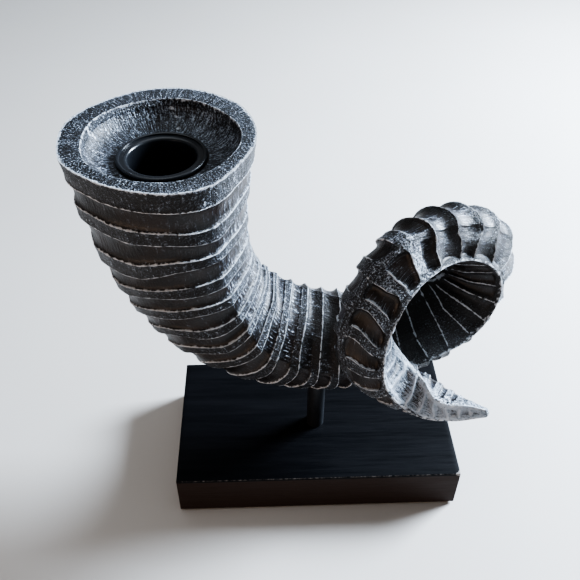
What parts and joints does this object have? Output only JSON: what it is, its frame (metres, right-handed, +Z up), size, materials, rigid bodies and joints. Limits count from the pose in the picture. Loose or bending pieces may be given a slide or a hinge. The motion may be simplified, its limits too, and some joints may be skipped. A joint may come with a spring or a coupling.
{
  "type": "horn-shaped candle holder",
  "caption": "Curled ribbed ram's horn on a post and a rectangular block base, with a lift-out cup in its mouth for one taper candle",
  "frame": {"origin": "on the surface it stands on, at the centre of the base's underside", "axes": "+Z up along the candle, +X from the mouth's side towards the curl, -Y the front, where the tip curls forward"},
  "size_m": [0.1714, 0.0903, 0.174],
  "materials": {
    "black_wood": "satin black paint over fine wood grain",
    "cast_resin": "near-black cast resin, ridges dry-brushed in silver",
    "black_steel": "satin black paint",
    "zinc_steel": "zinc plated",
    "brass": "turned",
    "felt": "black felt"
  },
  "bodies": {
    "stand": {"base_block": "black_wood", "post": "black_steel", "tie_rod": "zinc_steel", "base_washer": "zinc_steel", "base_nut": "zinc_steel", "horn_insert": "brass", "horn": "cast_resin", "felt_sheet": "felt"},
    "cup": {"candle_cup": "black_steel"}
  },
  "joints": [
    {"name": "cup_lift", "type": "slide", "parent": "stand", "child": "cup", "axis": [0, 0, 1], "range_m": [0, 0.05]}
  ]
}
